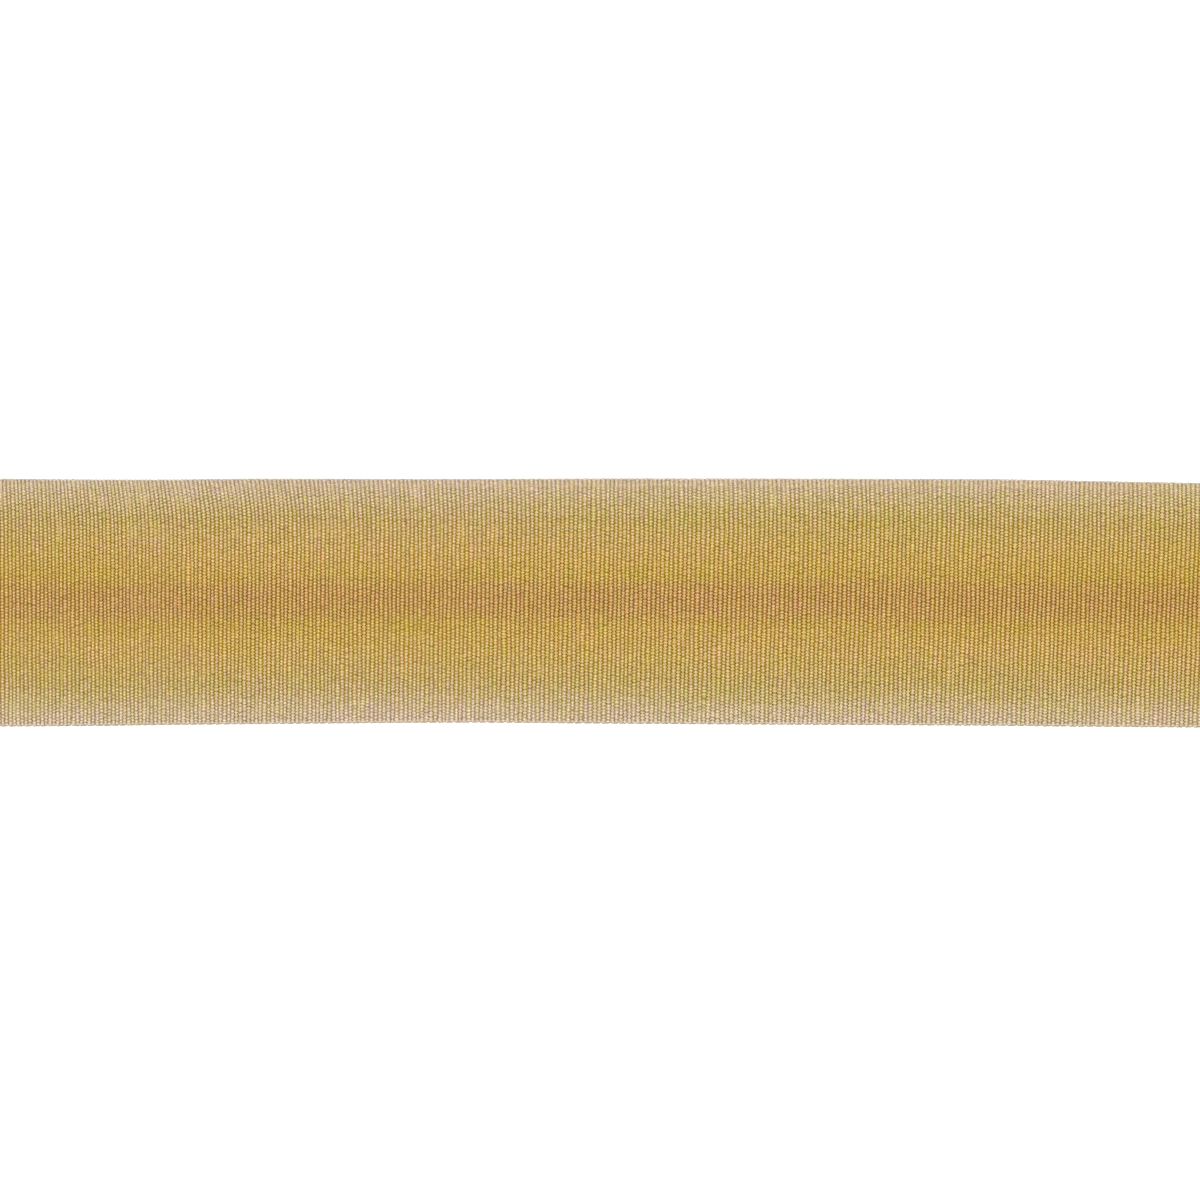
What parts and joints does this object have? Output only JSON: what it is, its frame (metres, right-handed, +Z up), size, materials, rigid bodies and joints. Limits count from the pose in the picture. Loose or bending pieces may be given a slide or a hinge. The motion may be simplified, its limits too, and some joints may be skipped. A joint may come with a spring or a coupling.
{
  "type": "tape trim",
  "caption": "Flat cut length of ribbed tape trim, dyed in a shaded band from pale edges to a rust centre, for edging and binding cloth.",
  "frame": {"origin": "on the surface that the tape lies on, under the middle of its box", "axes": "+X along the tape, +Y across it towards the far selvedge, +Z up, out of the ribbed face"},
  "size_m": [0.1926, 0.0386, 0.001],
  "materials": {
    "dyed_cloth": "warp-faced ribbed weave with a soft sheen on the ribs, dyed in bands from pale beige edges through olive and gold to a rust centre"
  },
  "bodies": {
    "root": {"tape": "dyed_cloth"}
  },
  "joints": []
}
